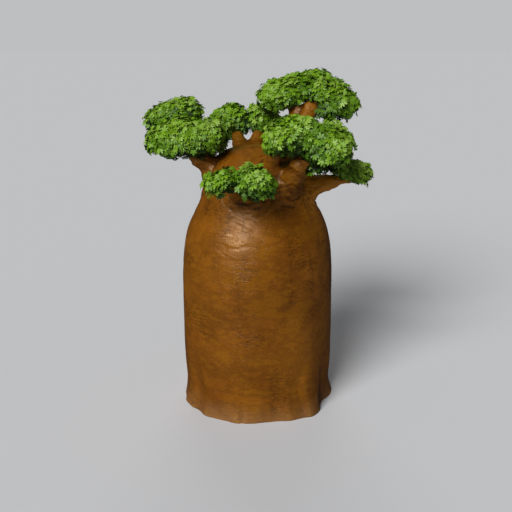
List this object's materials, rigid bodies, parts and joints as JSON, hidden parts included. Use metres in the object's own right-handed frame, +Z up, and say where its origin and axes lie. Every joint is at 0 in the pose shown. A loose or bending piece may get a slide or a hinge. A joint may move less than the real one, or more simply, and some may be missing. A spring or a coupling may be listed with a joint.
{
  "type": "baobab tree",
  "caption": "Squat bottle-trunked baobab tree with a huge smooth trunk, a neck, short boughs and separate rounded masses of leaves around its head.",
  "frame": {"origin": "centre of the trunk's flat cut at ground level", "axes": "+Z up along the trunk; -Y towards the front; +X towards the long low bough on the right"},
  "size_m": [4.8071, 4.3659, 7.0426],
  "materials": {
    "bark": "smooth, thin, slightly glossy orange-brown bark with fine wrinkles across it, folds at the boughs and darker stains",
    "foliage": "mid-green hand-shaped leaves in dense sprays, lighter where young, on short grey-brown twigs"
  },
  "bodies": {
    "root": {"trunk": "bark", "left_bough": "bark", "back_left_bough": "bark", "back_right_bough": "bark", "top_left_bough": "bark", "top_right_bough": "bark", "front_inner_bough": "bark", "front_outer_bough": "bark", "right_bough": "bark", "low_left_bough": "bark", "low_right_bough": "bark", "left_foliage": "foliage", "back_foliage": "foliage", "top_foliage": "foliage", "front_right_foliage": "foliage", "right_foliage": "foliage", "low_front_foliage": "foliage"}
  },
  "joints": []
}
